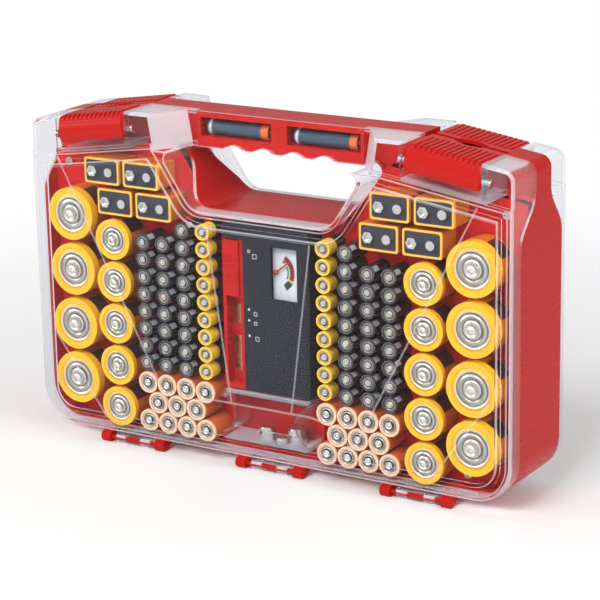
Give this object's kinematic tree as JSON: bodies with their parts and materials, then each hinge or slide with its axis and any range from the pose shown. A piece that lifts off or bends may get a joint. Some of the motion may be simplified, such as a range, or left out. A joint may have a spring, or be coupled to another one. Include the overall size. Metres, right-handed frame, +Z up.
{
  "type": "battery storage case",
  "caption": "Double-sided plastic case for household batteries, with clear hinged lids, a hand hole and handle, standing cells, a sliding cell tester and a coin cell bin.",
  "frame": {"origin": "on the table, under the middle of the case", "axes": "+X to the right seen from the front, front towards -Y, +Z up"},
  "size_m": [0.344, 0.0756, 0.2235],
  "materials": {
    "red_plastic": "gloss",
    "clear_plastic": "gloss",
    "steel": "satin",
    "cell_ends": "satin",
    "black_plastic": "satin",
    "dial": "matte",
    "needle": "matte",
    "orange_label": "gloss",
    "copper_label": "gloss",
    "black_label": "gloss",
    "yellow_label": "gloss",
    "nine_volt_label": "gloss",
    "dark_label": "gloss"
  },
  "bodies": {
    "case": {"case_body": "red_plastic", "front_tray": "red_plastic", "rear_tray": "red_plastic", "tray_screws": "steel", "tester_housing": "black_plastic", "tester_back": "black_plastic", "tester_screws": "steel", "tester_channel": "red_plastic", "tester_contacts": "steel", "meter_window": "clear_plastic", "meter_dial": "dial", "meter_movement": "black_plastic", "meter_pivot": "steel", "coin_box": "clear_plastic", "coin_cells": "steel", "d_cells_left": "orange_label", "d_cells_right": "orange_label", "c_cells_left": "orange_label", "c_cells_right": "orange_label", "aa_cells_left": "copper_label", "aa_cells_right": "copper_label", "aaa_black_cells_left": "black_label", "aaa_black_cells_right": "black_label", "aaa_yellow_cells_left": "yellow_label", "aaa_yellow_cells_right": "yellow_label", "nine_volt_cells_left": "nine_volt_label", "nine_volt_cells_right": "nine_volt_label", "d_caps": "cell_ends", "c_caps": "cell_ends", "aa_caps": "cell_ends", "aaa_black_caps": "cell_ends", "aaa_yellow_caps": "cell_ends", "nine_volt_faces": "black_plastic", "nine_volt_terminals": "steel", "handle_cells": "dark_label", "handle_caps": "cell_ends", "rear_aa_cells": "copper_label", "rear_aa_caps": "cell_ends"},
    "front_lid": {"front_lid": "clear_plastic", "front_latch_pins": "steel"},
    "rear_lid": {"rear_lid": "clear_plastic", "rear_latch_pins": "steel"},
    "front_latch_left": {"front_latch_left": "red_plastic"},
    "front_latch_right": {"front_latch_right": "red_plastic"},
    "rear_latch_left": {"rear_latch_left": "red_plastic"},
    "rear_latch_right": {"rear_latch_right": "red_plastic"},
    "tester_slider": {"tester_slider": "red_plastic"},
    "meter_needle": {"meter_needle": "needle"}
  },
  "joints": [
    {"name": "front_lid_hinge", "type": "hinge", "parent": "case", "child": "front_lid", "pos_m": [0, -0.0285, 0.0033], "axis": [1, 0, 0], "range_deg": [0, 175]},
    {"name": "rear_lid_hinge", "type": "hinge", "parent": "case", "child": "rear_lid", "pos_m": [0, 0.033, 0.0033], "axis": [-1, 0, 0], "range_deg": [0, 175]},
    {"name": "front_latch_left_hinge", "type": "hinge", "parent": "front_lid", "child": "front_latch_left", "pos_m": [-0.12525, -0.029, 0.20765], "axis": [0.989, 0, 0.1478], "range_deg": [0, 75]},
    {"name": "front_latch_right_hinge", "type": "hinge", "parent": "front_lid", "child": "front_latch_right", "pos_m": [0.12525, -0.029, 0.20765], "axis": [0.989, 0, -0.1478], "range_deg": [0, 75]},
    {"name": "rear_latch_left_hinge", "type": "hinge", "parent": "rear_lid", "child": "rear_latch_left", "pos_m": [-0.12525, 0.029, 0.20765], "axis": [-0.989, 0, -0.1478], "range_deg": [0, 75]},
    {"name": "rear_latch_right_hinge", "type": "hinge", "parent": "rear_lid", "child": "rear_latch_right", "pos_m": [0.12525, 0.029, 0.20765], "axis": [-0.989, 0, 0.1478], "range_deg": [0, 75]},
    {"name": "tester_slide", "type": "slide", "parent": "case", "child": "tester_slider", "axis": [0, 0, -1], "range_m": [0, 0.045]},
    {"name": "needle_turn", "type": "hinge", "parent": "case", "child": "meter_needle", "pos_m": [0.00598, -0.0262, 0.131], "axis": [0, 1, 0], "range_deg": [0, 76]}
  ]
}
